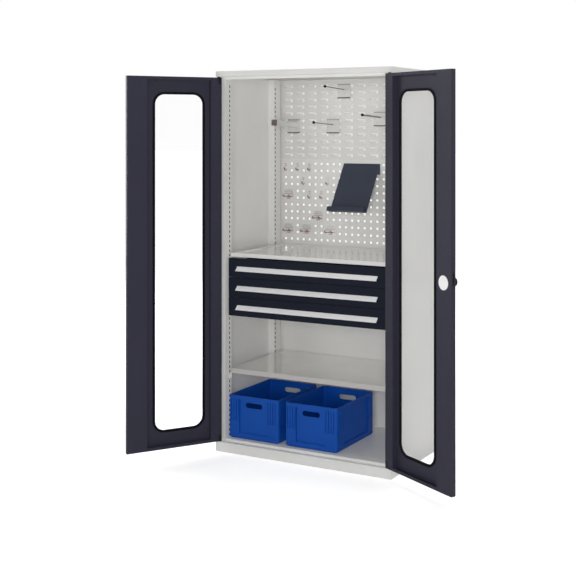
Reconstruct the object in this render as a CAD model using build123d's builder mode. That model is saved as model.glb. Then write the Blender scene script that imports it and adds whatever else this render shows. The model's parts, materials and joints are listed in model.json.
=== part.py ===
from build123d import *
import os
from math import cos, pi, radians, sin

os.makedirs("parts", exist_ok=True)

# Steel tool cabinet, millimetres, +Z up.  The origin is the centre of the plinth's footprint on
# the floor; the front looks along -Y.  Both doors are drawn open, where they stand at rest.

# --- carcass ---------------------------------------------------------------------------------
WIDTH = 1000.0
DEPTH = 600.0
HEIGHT = 1950.0
SHEET = 1.5                 # carcass sheet steel
DOOR_RECESS = 30.0          # plinth and cap stand this far in front of the jambs
PLINTH_HEIGHT = 50.0
CAP_HEIGHT = 28.0
RIM_LIP = 40.0              # inward lips of the plinth's foot and the cap's underside
FOOT_RAIL = 60.0            # angle under the middle of the plinth's deck
HEADER_HEIGHT = 14.0
HEADER_DEPTH = 30.0
FLOOR_HEIGHT = 12.0
RETURN_WIDTH = 20.0         # rear return flanges of the side walls
FIT = 0.5                   # loose fit between sheet parts that are screwed together

# --- slotted uprights ------------------------------------------------------------------------
JAMB_WIDTH = 39.0
FRONT_UPRIGHT_DEPTH = 59.0
REAR_UPRIGHT_DEPTH = 64.0
REAR_UPRIGHT_SETBACK = 30.0     # rear face of the rear uprights to the cabinet's rear plane
SLOT_PITCH = 25.0
SLOT_WIDTH = 9.0
SLOT_HEIGHT = 14.0
SLOT_COUNT = 73
LOWEST_SLOT = 73.0              # height of the lowest slot's centre
FRONT_SLOT_SETBACK = 40.0       # slot column behind the front upright's face
REAR_SLOT_SETBACK = 11.0        # slot column behind the rear upright's face

# --- rear panels -----------------------------------------------------------------------------
PANEL_SETBACK = 9.0             # panel face in front of the cabinet's rear plane
PERFORATION_PITCH = 38.0
PERFORATION_SIZE = 10.0
PERFORATION_COLUMNS = 24
PERFORATION_ROWS = 12
LOWEST_PERFORATION = 1043.0     # height of the lowest row's centre
PERFORATED_BOTTOM = 1024.0
PERFORATED_TOP = 1488.0
LOUVRE_COLUMNS = 12
LOUVRE_ROWS = 11
LOUVRE_WIDTH = 48.0
LOUVRE_HEIGHT = 15.0
LOUVRE_REACH = 8.0
LOUVRE_SPLAY = 42.0             # degrees, slant of a louvre's upper face and ends
LOWEST_LOUVRE = 1517.0          # height of the lowest row's upper edge

# --- shelves ---------------------------------------------------------------------------------
SHELF_SIDE_GAP = 12.0           # shelf edge to the uprights
SHELF_FRONT_SETBACK = 32.0      # shelf edge behind the jamb face
SHELF_REAR_GAP = 6.0            # shelf edge to the rear panels
UPPER_SHELF_SLOT = 36           # slot, counted from the lowest, that carries each shelf
MIDDLE_SHELF_SLOT = 12
UPPER_SHELF_LIP = 20.0
MIDDLE_SHELF_LIP = 24.0
TRAY_RIM = 22.0                 # border of the upper shelf's recessed field
TRAY_DEPTH = 4.0
CLIP_RISE = 22.0                # clip's seat above its slot's centre
CLIP_WIDTH = 8.0
CLIP_SEAT = 4.0                 # how far the clip reaches under the shelf

# --- drawers ---------------------------------------------------------------------------------
DRAWER_COUNT = 3
DRAWER_PITCH = 99.5
DRAWER_GAP = 2.0
LOWEST_DRAWER = 692.5           # lower edge of the lowest front
FRONT_WIDTH = 910.0
FRONT_THICKNESS = 10.0
FRONT_SHEET = 1.5
FRONT_SETBACK = 22.0            # drawer face behind the jamb face
TRAY_WALL = 1.5
TRAY_HEIGHT = 74.0
TRAY_RAISE = 8.0                # tray floor above the front's lower edge
TRAY_LENGTH = 480.0
RUNNER_SPACE = 24.0             # tray wall to the upright
RUNNER_HEIGHT = 40.0
RUNNER_SHEET = 1.5
RUNNER_RAISE = 15.0
RUNNER_CLEARANCE = 3.0
HANDLE_LENGTH = 806.0
HANDLE_REACH = 20.0
HANDLE_TOP = 56.0               # above the front's lower edge
HANDLE_BOTTOM = 34.0
HANDLE_SHEET = 2.0
HANDLE_HEM = 7.0

# --- doors -----------------------------------------------------------------------------------
LEFT_OPENING = 124.0            # degrees from closed
RIGHT_OPENING = 151.2
DOOR_THICKNESS = 26.0
DOOR_SHEET = 1.5
DOOR_SIDE_GAP = 2.0             # hinge edge inside the cabinet's side
DOOR_CENTRE_GAP = 3.0
DOOR_BOTTOM_GAP = 3.5
DOOR_TOP_GAP = 4.5
DOOR_CORNER = 3.0
HINGE_INSET = 10.0              # pin from the hinge edge
HINGE_DEPTH = 8.0               # pin from the door's outer face
PIN_RADIUS = 4.5
PIN_LENGTH = 28.0
PIN_FLANGE_RADIUS = 7.5
RUNNING_CLEARANCE = 0.08
THRUST_GAP = 0.3
BUSH_WIDTH = 17.0
BUSH_HEIGHT = 32.0
HINGE_BOX_WIDTH = 58.0
LOCK_BOX_WIDTH = 103.5
DOOR_LIP = 15.0
WINDOW_WIDTH = 251.0
WINDOW_HEIGHT = 1685.0
WINDOW_FROM_FREE_EDGE = 150.5
WINDOW_FROM_BOTTOM = 89.5
WINDOW_CORNER = 50.0
GASKET_WIDTH = 12.0
GASKET_FACE = 1.5               # rubber standing proud of the skin
PANE_THICKNESS = 3.0
PANE_GRIP = 5.0
SKIN_GRIP = 6.0

# --- lock ------------------------------------------------------------------------------------
LOCK_FROM_FREE_EDGE = 52.5
LOCK_HEIGHT = 980.0
KNOB_RADIUS = 20.0
KNOB_REACH = 37.0               # knob in front of the door's outer face
KNOB_BODY = 26.0
ROSETTE_RADIUS = 25.0
ROSETTE_THICKNESS = 3.0
SPINDLE_RADIUS = 6.0
COVER_RADIUS = 32.5
COVER_THICKNESS = 3.5
COVER_ROUND = 1.0
ROD_RADIUS = 4.0
ROD_OFFSET = 14.0               # rod centre line to the spindle
ROD_TIP = 2.0                   # rod's end inside the door's edge when it is drawn back
ROD_HOLE = 6.0
PINION_GAP = 0.7
GUIDE_LENGTH = 15.0
GUIDE_WIDTH = 20.0
BOLT_HEIGHT = 1000.0            # centre of the bolt's slot
BOLT_SIZE = 56.0
BOLT_THICKNESS = 6.0
BOLT_LENGTH = 27.0
BOLT_SETBACK = 1.0              # bolt's end inside the flange when it is drawn back
BOLT_PLAY = 0.3                 # bolt to the bars that guide it
BOLT_SLOT = 60.0
BOLT_BAR = 8.0                  # height of the bars that guide the bolt

# --- crates ----------------------------------------------------------------------------------
CRATE_WIDTH = 300.0
CRATE_LENGTH = 400.0
CRATE_HEIGHT = 220.0
CRATE_FRONT = -242.0
CRATE_CENTRES = (-309.0, 28.0)
CRATE_CORNER = 16.0
CRATE_FOOT_ROUND = 8.0
CRATE_WALL = 3.0
CRATE_RECESS = 6.0              # field between the corner posts behind the posts' faces
CRATE_SIDE_RECESS = 6.0
CRATE_POST = 66.0
CRATE_BAND = 30.0               # solid band at the foot
CRATE_RIM = 16.0
GRIP_WIDTH = 100.0
GRIP_HEIGHT = 26.0
GRIP_DROP = 45.0                # grip's centre below the rim
RIB_GROOVE = 5.0
RIB_DEPTH = 4.0
RIB_PITCH = 14.5
RIB_COUNT = 4
RIB_FOOT = 92.0

# --- document holder -------------------------------------------------------------------------
HOLDER_LEFT = -68.0
HOLDER_WIDTH = 218.0
HOLDER_TOP = 1466.0
HOLDER_DROP = 250.0
HOLDER_LEAN = 163.0             # foot of the plate in front of the panel
HOLDER_SHEET = 2.0
HOLDER_TAB = 56.0
TROUGH_REACH = 36.0
TROUGH_LIP = 20.0
HOLDER_PEG = 9.0
PEG_REACH = 6.0

# --- hooks and arms --------------------------------------------------------------------------
HOOK_WIRE = 2.5
HOOK_PLATE = 2.0
HOOK_PEG = 8.0
SINGLE_HOOKS = ((0, 0), (2, 0), (4, 0), (3, 2), (7, 2), (4, 4), (6, 4))     # column, row from top
SINGLE_WIDTH = 14.0
SINGLE_HEIGHT = 50.0
SINGLE_REACH = 18.0
DOUBLE_HOOKS = ((0, 4), (5, 7), (0, 9), (3, 9), (7, 9))
DOUBLE_WIDTH = 58.0
DOUBLE_HEIGHT = 56.0
DOUBLE_REACH = 30.0
HOOK_RISE = 12.0
ROD_ARMS = ((-64.0, 0, 3.0), (-132.0, 5, 3.0), (157.0, 4, 4.5))     # centre, louvre row, radius
TUBE_ARM = (-380.0, 5)
ARM_PLATE = 78.0
ARM_SHEET = 2.0
ARM_REACH = 205.0
ARM_DROP = 30.0                 # arm's root below the plate's upper edge
ARM_TILT = 3.0                  # degrees above level
BALL_RADIUS = 7.5
TUBE_SIZE = 32.0
TUBE_WALL = 2.0
PLUG_LENGTH = 5.0

# --- planes and edges that the pieces share --------------------------------------------------
side_x = WIDTH / 2
front_y = -DEPTH / 2
rear_y = DEPTH / 2
wall_x = side_x - SHEET
jamb_y = front_y + DOOR_RECESS
upright_x = side_x - JAMB_WIDTH
front_upright_rear = jamb_y + FRONT_UPRIGHT_DEPTH
rear_upright_rear = rear_y - REAR_UPRIGHT_SETBACK
rear_upright_front = rear_upright_rear - REAR_UPRIGHT_DEPTH
front_slot_y = jamb_y + FRONT_SLOT_SETBACK
rear_slot_y = rear_upright_front + REAR_SLOT_SETBACK
panel_y = rear_y - PANEL_SETBACK
cap_z = HEIGHT - CAP_HEIGHT
header_z = cap_z - HEADER_HEIGHT
floor_z = PLINTH_HEIGHT + FLOOR_HEIGHT
shelf_x = upright_x - SHELF_SIDE_GAP
shelf_front = jamb_y + SHELF_FRONT_SETBACK
shelf_rear = panel_y - SHELF_REAR_GAP
door_bottom = PLINTH_HEIGHT + DOOR_BOTTOM_GAP
door_top = cap_z - DOOR_TOP_GAP
hinge_x = side_x - DOOR_SIDE_GAP - HINGE_INSET
hinge_y = front_y + HINGE_DEPTH
leaf_start = -HINGE_INSET                           # along the leaf, from the pin
leaf_end = hinge_x - DOOR_CENTRE_GAP / 2
rod_depth = DOOR_THICKNESS / 2                      # rods and bolt, behind the outer face
spindle_s = leaf_end - LOCK_FROM_FREE_EDGE


def save(builder, name):
    """Label a finished piece and write it as its own STEP file."""
    builder.part.label = name
    export_step(builder.part, f"parts/{name}.step")


def block(x0, x1, y0, y1, z0, z1, mode=Mode.ADD):
    """A box between two opposite corners."""
    with Locations(((x0 + x1) / 2, (y0 + y1) / 2, (z0 + z1) / 2)):
        Box(abs(x1 - x0), abs(y1 - y0), abs(z1 - z0), mode=mode)


def slot_height(number):
    return LOWEST_SLOT + SLOT_PITCH * number


# =============================================================================================
# Carcass
# =============================================================================================
def make_plinth():
    """Folded plinth: four bands, a deck for the walls, a lip at the floor and a middle rail."""
    with BuildPart() as plinth:
        block(-side_x, side_x, front_y, rear_y, 0, PLINTH_HEIGHT)
        block(-wall_x, wall_x, front_y + SHEET, rear_y - SHEET, SHEET, PLINTH_HEIGHT - SHEET,
              Mode.SUBTRACT)
        block(-side_x + RIM_LIP, side_x - RIM_LIP, front_y + RIM_LIP, rear_y - RIM_LIP, 0, SHEET,
              Mode.SUBTRACT)
        block(-FOOT_RAIL / 2, FOOT_RAIL / 2, front_y + SHEET, rear_y - SHEET, 0, SHEET)
        block(-FOOT_RAIL / 2, -FOOT_RAIL / 2 + SHEET, front_y + SHEET, rear_y - SHEET, 0,
              PLINTH_HEIGHT - SHEET)
        with Locations((spindle_x + ROD_OFFSET, rod_y, PLINTH_HEIGHT - SHEET / 2)):
            Cylinder(ROD_HOLE, SHEET, mode=Mode.SUBTRACT)
    save(plinth, "plinth")


def make_cap():
    """Folded cap with its lips turned in under the rim."""
    with BuildPart() as cap:
        block(-side_x, side_x, front_y, rear_y, cap_z, HEIGHT)
        block(-wall_x, wall_x, front_y + SHEET, rear_y - SHEET, cap_z + SHEET, HEIGHT - SHEET,
              Mode.SUBTRACT)
        block(-side_x + RIM_LIP, side_x - RIM_LIP, front_y + RIM_LIP, rear_y - RIM_LIP,
              cap_z, cap_z + SHEET, Mode.SUBTRACT)
        with Locations((spindle_x - ROD_OFFSET, rod_y, cap_z + SHEET / 2)):
            Cylinder(ROD_HOLE, SHEET, mode=Mode.SUBTRACT)
    save(cap, "cap")


def make_side_wall(side, name):
    """Side wall with a return flange at the rear."""
    with BuildPart() as wall:
        block(side * wall_x, side * side_x, jamb_y, rear_y, PLINTH_HEIGHT, cap_z)
        block(side * (wall_x - RETURN_WIDTH), side * wall_x, rear_y - SHEET, rear_y,
              PLINTH_HEIGHT, cap_z)
    save(wall, name)


def make_upright(side, y0, y1, slot_y, name):
    """Slotted channel, open towards the side wall."""
    with BuildPart() as upright:
        block(side * upright_x, side * wall_x, y0, y1, PLINTH_HEIGHT, cap_z)
        block(side * (upright_x + SHEET), side * wall_x, y0 + SHEET, y1 - SHEET,
              PLINTH_HEIGHT, cap_z, Mode.SUBTRACT)
        with Locations(*[(side * (upright_x + SHEET / 2), slot_y, slot_height(number))
                         for number in range(SLOT_COUNT)]):
            Box(SHEET, SLOT_WIDTH, SLOT_HEIGHT, mode=Mode.SUBTRACT)
    save(upright, name)


def make_header():
    """Channel between the jambs, under the cap."""
    with BuildPart() as header:
        block(-upright_x, upright_x, jamb_y, jamb_y + HEADER_DEPTH, header_z, cap_z)
        block(-upright_x, upright_x, jamb_y + SHEET, jamb_y + HEADER_DEPTH, header_z + SHEET,
              cap_z - SHEET, Mode.SUBTRACT)
    save(header, "header_rail")


def make_floor():
    """Floor pan, notched round the four uprights, with its lip between the jambs."""
    with BuildPart() as floor:
        block(-wall_x, wall_x, jamb_y, panel_y, PLINTH_HEIGHT, floor_z)
        block(-wall_x + SHEET, wall_x - SHEET, jamb_y + SHEET, panel_y - SHEET, PLINTH_HEIGHT,
              floor_z - SHEET, Mode.SUBTRACT)
        for side in (-1, 1):
            for y0, y1 in ((jamb_y, front_upright_rear), (rear_upright_front, rear_upright_rear)):
                block(side * (upright_x - FIT), side * side_x, y0 - FIT, y1 + FIT,
                      PLINTH_HEIGHT, floor_z, Mode.SUBTRACT)
    save(floor, "floor_pan")


def panel_pan(z0, z1):
    """Rear panel with its rim turned back to the side walls' flanges."""
    block(-wall_x, wall_x, panel_y, rear_y - SHEET, z0, z1)
    block(-wall_x + SHEET, wall_x - SHEET, panel_y + SHEET, rear_y - SHEET, z0 + SHEET,
          z1 - SHEET, Mode.SUBTRACT)


def make_perforated_panel():
    """Panel with a square grid of square holes."""
    middle = LOWEST_PERFORATION + PERFORATION_PITCH * (PERFORATION_ROWS - 1) / 2
    with BuildPart() as panel:
        panel_pan(PERFORATED_BOTTOM, PERFORATED_TOP)
        with Locations(Location((0, panel_y + SHEET / 2, middle), (90, 0, 0))):
            with GridLocations(PERFORATION_PITCH, PERFORATION_PITCH, PERFORATION_COLUMNS,
                               PERFORATION_ROWS):
                Box(PERFORATION_SIZE, PERFORATION_SIZE, SHEET, mode=Mode.SUBTRACT)
    save(panel, "perforated_panel")


def louvre_form(y):
    """Hood that narrows forwards from the plane at y, with its upper edge at z = 0."""
    tall = LOUVRE_HEIGHT + LOUVRE_REACH
    with BuildPart(mode=Mode.PRIVATE) as form:
        with BuildSketch(Plane.XZ.offset(-y)):
            with Locations((0, -tall / 2)):
                Rectangle(LOUVRE_WIDTH, tall)
        extrude(amount=LOUVRE_REACH, taper=LOUVRE_SPLAY)
        block(-LOUVRE_WIDTH, LOUVRE_WIDTH, y, y - 2 * LOUVRE_REACH, -2 * tall, -LOUVRE_HEIGHT,
              Mode.SUBTRACT)
    return form.part


def make_louvre_panel():
    """Panel with rows of pressed louvres, closed above and at both ends, open below."""
    pitch = PERFORATION_PITCH
    hood = louvre_form(panel_y)
    hollow = louvre_form(panel_y + SHEET)
    first = -pitch * (LOUVRE_COLUMNS - 1)
    spots = [(first + 2 * pitch * column, 0, LOWEST_LOUVRE + pitch * row)
             for column in range(LOUVRE_COLUMNS) for row in range(LOUVRE_ROWS)]
    with BuildPart() as panel:
        panel_pan(PERFORATED_TOP, cap_z)
        with Locations(*spots):
            add(hood)
        with Locations(*spots):
            add(hollow, mode=Mode.SUBTRACT)
    save(panel, "louvre_panel")


def make_lower_panel():
    with BuildPart() as panel:
        panel_pan(PLINTH_HEIGHT, PERFORATED_BOTTOM)
    save(panel, "lower_panel")


# =============================================================================================
# Shelves
# =============================================================================================
def shelf_lip_z(slot):
    return slot_height(slot) + CLIP_RISE


def make_shelf(slot, lip, recess, name):
    """Tray shelf with its edges turned down; the upper one has a recessed field."""
    z0 = shelf_lip_z(slot)
    z1 = z0 + lip
    with BuildPart() as shelf:
        block(-shelf_x, shelf_x, shelf_front, shelf_rear, z0, z1)
        block(-shelf_x + SHEET, shelf_x - SHEET, shelf_front + SHEET, shelf_rear - SHEET,
              z0, z1 - SHEET - recess, Mode.SUBTRACT)
        if recess:
            block(-shelf_x + TRAY_RIM, shelf_x - TRAY_RIM, shelf_front + TRAY_RIM,
                  shelf_rear - TRAY_RIM, z1 - recess, z1, Mode.SUBTRACT)
    save(shelf, name)


def make_clips():
    """One clip hooked into a slot under each corner of each shelf."""
    with BuildPart() as clips:
        for slot in (UPPER_SHELF_SLOT, MIDDLE_SHELF_SLOT):
            z = slot_height(slot)
            for side in (-1, 1):
                for y in (front_slot_y, rear_slot_y):
                    block(side * (shelf_x - CLIP_SEAT), side * upright_x, y - CLIP_WIDTH / 2,
                          y + CLIP_WIDTH / 2, z - SLOT_HEIGHT / 2, z + CLIP_RISE)
                    block(side * upright_x, side * (upright_x + SHEET), y - SLOT_WIDTH / 2 + FIT,
                          y + SLOT_WIDTH / 2 - FIT, z - SLOT_HEIGHT / 2 + FIT,
                          z + SLOT_HEIGHT / 2 - FIT)
    save(clips, "shelf_clips")


# =============================================================================================
# Drawers
# =============================================================================================
drawer_face = jamb_y + FRONT_SETBACK
tray_front = drawer_face + FRONT_THICKNESS
tray_x = upright_x - RUNNER_SPACE
runner_rear = rear_upright_rear - FIT


def drawer_z(number):
    return LOWEST_DRAWER + DRAWER_PITCH * number


def make_drawer_front(number):
    """Front with its edges turned back to the tray."""
    z0 = drawer_z(number)
    z1 = z0 + DRAWER_PITCH - DRAWER_GAP
    half = FRONT_WIDTH / 2
    with BuildPart() as front:
        block(-half, half, drawer_face, tray_front, z0, z1)
        block(-half + FRONT_SHEET, half - FRONT_SHEET, drawer_face + FRONT_SHEET, tray_front,
              z0 + FRONT_SHEET, z1 - FRONT_SHEET, Mode.SUBTRACT)
    save(front, f"drawer_{number + 1}_front")


def make_drawer_handle(number):
    """Slanted grip strip, closed above against the front and open below for the fingers."""
    z0 = drawer_z(number)
    face = drawer_face
    lip = face - HANDLE_REACH
    top = z0 + HANDLE_TOP
    foot = z0 + HANDLE_BOTTOM
    with BuildPart() as handle:
        with BuildSketch(Plane.YZ.offset(-HANDLE_LENGTH / 2)):
            with BuildLine():
                Polyline((face, top), (lip, foot), (lip + HANDLE_HEM, foot),
                         (lip + HANDLE_HEM, foot + HANDLE_SHEET),
                         (lip + 2 * HANDLE_SHEET, foot + HANDLE_SHEET),
                         (face, top - 2 * HANDLE_SHEET), close=True)
            make_face()
        extrude(amount=HANDLE_LENGTH)
    save(handle, f"drawer_{number + 1}_handle")


def make_drawer_tray(number):
    """Open tray behind the front."""
    z0 = drawer_z(number) + TRAY_RAISE
    with BuildPart() as tray:
        block(-tray_x, tray_x, tray_front, tray_front + TRAY_LENGTH, z0, z0 + TRAY_HEIGHT)
        block(-tray_x + TRAY_WALL, tray_x - TRAY_WALL, tray_front + TRAY_WALL,
              tray_front + TRAY_LENGTH - TRAY_WALL, z0 + TRAY_WALL, z0 + TRAY_HEIGHT,
              Mode.SUBTRACT)
    save(tray, f"drawer_{number + 1}_tray")


def make_drawer_slides(number):
    """Rails screwed to the tray's walls, each with a tongue inside the fixed runner."""
    z0 = drawer_z(number) + RUNNER_RAISE
    z1 = z0 + RUNNER_HEIGHT
    tongue = RUNNER_SHEET + RUNNER_CLEARANCE
    with BuildPart() as slides:
        for side in (-1, 1):
            block(side * tray_x, side * (tray_x + RUNNER_SHEET), tray_front,
                  tray_front + TRAY_LENGTH, z0, z1)
            block(side * (tray_x + RUNNER_SHEET), side * (upright_x - tongue), tray_front,
                  tray_front + TRAY_LENGTH, z0 + RUNNER_HEIGHT / 2 - tongue,
                  z0 + RUNNER_HEIGHT / 2 + tongue)
    save(slides, f"drawer_{number + 1}_slides")


def make_runners():
    """Fixed runners: channels from the front uprights to the rear ones."""
    inner = tray_x + RUNNER_SHEET + RUNNER_CLEARANCE
    with BuildPart() as runners:
        for number in range(DRAWER_COUNT):
            z0 = drawer_z(number) + RUNNER_RAISE
            z1 = z0 + RUNNER_HEIGHT
            for side in (-1, 1):
                block(side * inner, side * upright_x, tray_front + FIT, runner_rear, z0, z1)
                block(side * inner, side * (upright_x - RUNNER_SHEET), tray_front + FIT,
                      runner_rear, z0 + RUNNER_SHEET, z1 - RUNNER_SHEET, Mode.SUBTRACT)
    save(runners, "drawer_runners")


# =============================================================================================
# Doors
# =============================================================================================
def leaf_angle(side):
    """Direction of the leaf from its pin, in degrees from +X."""
    return -LEFT_OPENING if side < 0 else 180 + RIGHT_OPENING


def door_frame(side):
    """Plane at the pin: x runs along the leaf, z is up."""
    angle = radians(leaf_angle(side))
    return Plane(origin=(side * hinge_x, hinge_y, 0), x_dir=(cos(angle), sin(angle), 0),
                 z_dir=(0, 0, 1))


def depth_y(side, w):
    """Local y of a point w behind the door's outer face."""
    return -side * (w - HINGE_DEPTH)


def leaf_block(side, s0, s1, w0, w1, z0, z1, mode=Mode.ADD):
    """A box in the leaf: s along it from the pin, w behind the outer face, z up."""
    block(s0, s1, depth_y(side, w0), depth_y(side, w1), z0, z1, mode)


def window_plane(side, w):
    """Plane at the window's centre, w behind the outer face, looking into the cabinet."""
    frame = door_frame(side)
    s = leaf_end - WINDOW_FROM_FREE_EDGE - WINDOW_WIDTH / 2
    z = door_bottom + WINDOW_FROM_BOTTOM + WINDOW_HEIGHT / 2
    inward = frame.y_dir * -side
    return Plane(origin=frame.from_local_coords(Vector(s, depth_y(side, w), z)),
                 x_dir=frame.x_dir * -side, z_dir=inward)


def window_outline(grow):
    """The window's clear opening, grown outwards."""
    RectangleRounded(WINDOW_WIDTH + 2 * grow, WINDOW_HEIGHT + 2 * grow, WINDOW_CORNER + grow)


def make_leaf(side, name):
    """Outer skin with folded edges, lips at top and bottom, the window's hole and pin holes."""
    lip_end = leaf_end - LOCK_BOX_WIDTH
    lip_start = leaf_start + HINGE_BOX_WIDTH
    with BuildPart(door_frame(side)) as leaf:
        leaf_block(side, leaf_start, leaf_end, 0, DOOR_THICKNESS, door_bottom, door_top)
        skin_edges = leaf.edges().filter_by(Axis.Z).sort_by(
            lambda edge: -door_frame(side).to_local_coords(edge.center()).Y * side)[:2]
        fillet(skin_edges, DOOR_CORNER)
        leaf_block(side, leaf_start + DOOR_SHEET, leaf_end - DOOR_SHEET, DOOR_SHEET,
                   DOOR_THICKNESS, door_bottom + DOOR_SHEET, door_top - DOOR_SHEET, Mode.SUBTRACT)
        for z0, z1 in ((door_bottom, door_bottom + DOOR_LIP), (door_top - DOOR_LIP, door_top)):
            leaf_block(side, lip_start, lip_end, DOOR_THICKNESS - DOOR_SHEET, DOOR_THICKNESS,
                       z0, z1)
        with BuildSketch(window_plane(side, 0)):
            window_outline(SKIN_GRIP)
        extrude(amount=DOOR_SHEET, mode=Mode.SUBTRACT)
        with Locations((0, 0, door_bottom + DOOR_SHEET / 2), (0, 0, door_top - DOOR_SHEET / 2)):
            Cylinder(PIN_RADIUS + 1, DOOR_SHEET, mode=Mode.SUBTRACT)
        leaf_block(side, leaf_end - DOOR_SHEET, leaf_end,
                   rod_depth - BOLT_THICKNESS / 2 - FIT, rod_depth + BOLT_THICKNESS / 2 + FIT,
                   BOLT_HEIGHT - BOLT_SLOT / 2, BOLT_HEIGHT + BOLT_SLOT / 2, Mode.SUBTRACT)
        if side > 0:
            y = depth_y(side, rod_depth)
            with Locations((spindle_s + ROD_OFFSET, y, door_top - DOOR_SHEET / 2),
                           (spindle_s - ROD_OFFSET, y, door_bottom + DOOR_SHEET / 2)):
                Cylinder(ROD_HOLE, DOOR_SHEET, mode=Mode.SUBTRACT)
            with Locations(Location((spindle_s, depth_y(side, DOOR_SHEET / 2), LOCK_HEIGHT),
                                    (90, 0, 0))):
                Cylinder(SPINDLE_RADIUS + FIT, DOOR_SHEET, mode=Mode.SUBTRACT)
    save(leaf, name)


def make_hinge_box(side, name):
    """Stiffener on the hinge side: a wall and an inner plate, notched for the bushes."""
    s1 = leaf_start + HINGE_BOX_WIDTH
    s0 = leaf_start + DOOR_SHEET
    with BuildPart(door_frame(side)) as box:
        leaf_block(side, s1 - DOOR_SHEET, s1, DOOR_SHEET, DOOR_THICKNESS,
                   door_bottom + DOOR_LIP, door_top - DOOR_LIP)
        leaf_block(side, s0, s1, DOOR_THICKNESS - DOOR_SHEET, DOOR_THICKNESS,
                   door_bottom + DOOR_LIP, door_top - DOOR_LIP)
        for z0, z1 in ((door_bottom + DOOR_SHEET, door_bottom + DOOR_LIP),
                       (door_top - DOOR_LIP, door_top - DOOR_SHEET)):
            leaf_block(side, s0, s1, DOOR_THICKNESS - DOOR_SHEET, DOOR_THICKNESS, z0, z1)
            leaf_block(side, s1 - DOOR_SHEET, s1, DOOR_SHEET, DOOR_THICKNESS, z0, z1)
        for z0, z1 in bush_spans():
            leaf_block(side, s0, s0 + BUSH_WIDTH, DOOR_THICKNESS - DOOR_SHEET, DOOR_THICKNESS,
                       z0, z1, Mode.SUBTRACT)
    save(box, name)


def bush_spans():
    """Heights of the lower and upper hinge bush."""
    return ((door_bottom + DOOR_SHEET, door_bottom + DOOR_SHEET + BUSH_HEIGHT),
            (door_top - DOOR_SHEET - BUSH_HEIGHT, door_top - DOOR_SHEET))


def make_bushes(side, name):
    """Bored plastic blocks in the hinge-side corners."""
    s0 = leaf_start + DOOR_SHEET
    with BuildPart(door_frame(side)) as bushes:
        for z0, z1 in bush_spans():
            leaf_block(side, s0, s0 + BUSH_WIDTH, DOOR_SHEET, DOOR_THICKNESS, z0, z1)
            with Locations((0, 0, (z0 + z1) / 2)):
                Cylinder(PIN_RADIUS + RUNNING_CLEARANCE, BUSH_HEIGHT, mode=Mode.SUBTRACT)
        inner_edges = bushes.edges().filter_by(Axis.Z).sort_by(
            lambda edge: -door_frame(side).to_local_coords(edge.center()).Y * side)[:4]
        chamfer(inner_edges, DOOR_SHEET)
    save(bushes, name)


def make_lock_box(side, name):
    """Wide stiffener on the free side."""
    s0 = leaf_end - LOCK_BOX_WIDTH
    s1 = leaf_end - DOOR_SHEET
    z0 = door_bottom + DOOR_SHEET
    z1 = door_top - DOOR_SHEET
    with BuildPart(door_frame(side)) as box:
        leaf_block(side, s0, s0 + DOOR_SHEET, DOOR_SHEET, DOOR_THICKNESS, z0, z1)
        leaf_block(side, s0, s1, DOOR_THICKNESS - DOOR_SHEET, DOOR_THICKNESS, z0, z1)
    save(box, name)


def make_gasket(side, name):
    """Rubber profile that clips over the skin's edge and holds the pane."""
    with BuildPart() as gasket:
        with BuildSketch(window_plane(side, -GASKET_FACE)):
            window_outline(GASKET_WIDTH)
            window_outline_cut(0)
        extrude(amount=PANE_THICKNESS + 2 * GASKET_FACE)
        with BuildSketch(window_plane(side, 0)):
            window_outline(GASKET_WIDTH)
            window_outline_cut(SKIN_GRIP)
        extrude(amount=DOOR_SHEET, mode=Mode.SUBTRACT)
        with BuildSketch(window_plane(side, 0)):
            window_outline(PANE_GRIP)
        extrude(amount=PANE_THICKNESS, mode=Mode.SUBTRACT)
    save(gasket, name)


def window_outline_cut(grow):
    RectangleRounded(WINDOW_WIDTH + 2 * grow, WINDOW_HEIGHT + 2 * grow, WINDOW_CORNER + grow,
                     mode=Mode.SUBTRACT)


def make_pane(side, name):
    """Clear window pane."""
    with BuildPart() as pane:
        with BuildSketch(window_plane(side, 0)):
            window_outline(PANE_GRIP)
        extrude(amount=PANE_THICKNESS)
    save(pane, name)


def make_hinge_pins():
    """Flanged pins on the plinth's deck and under the cap's lip."""
    foot = DOOR_BOTTOM_GAP - THRUST_GAP
    head = DOOR_TOP_GAP - THRUST_GAP
    with BuildPart() as pins:
        for side in (-1, 1):
            x = side * hinge_x
            with Locations((x, hinge_y, PLINTH_HEIGHT + foot / 2)):
                Cylinder(PIN_FLANGE_RADIUS, foot)
            with Locations((x, hinge_y, PLINTH_HEIGHT + PIN_LENGTH / 2)):
                Cylinder(PIN_RADIUS, PIN_LENGTH)
            with Locations((x, hinge_y, cap_z - head / 2)):
                Cylinder(PIN_FLANGE_RADIUS, head)
            with Locations((x, hinge_y, cap_z - PIN_LENGTH / 2)):
                Cylinder(PIN_RADIUS, PIN_LENGTH)
    save(pins, "hinge_pins")


# =============================================================================================
# Lock on the right door
# =============================================================================================
spindle_x = side_x - DOOR_SIDE_GAP - HINGE_INSET - spindle_s     # both with the door closed
rod_y = front_y + rod_depth


def spindle_plane(w):
    """Plane across the spindle, w behind the right door's outer face, looking inwards."""
    frame = door_frame(1)
    return Plane(origin=frame.from_local_coords(Vector(spindle_s, depth_y(1, w), LOCK_HEIGHT)),
                 x_dir=frame.x_dir * -1, z_dir=frame.y_dir * -1)


def make_knob():
    """Fluted knob with its neck, outside the door."""
    with BuildPart() as knob:
        with BuildSketch(spindle_plane(-KNOB_REACH)):
            Circle(KNOB_RADIUS)
            with PolarLocations(KNOB_RADIUS + 1, 12):
                Circle(3, mode=Mode.SUBTRACT)
        extrude(amount=KNOB_BODY)
        with BuildSketch(spindle_plane(-KNOB_REACH + KNOB_BODY)):
            Circle(KNOB_RADIUS * 0.55)
        extrude(amount=KNOB_REACH - KNOB_BODY - ROSETTE_THICKNESS - THRUST_GAP)
    save(knob, "lock_knob")


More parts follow.
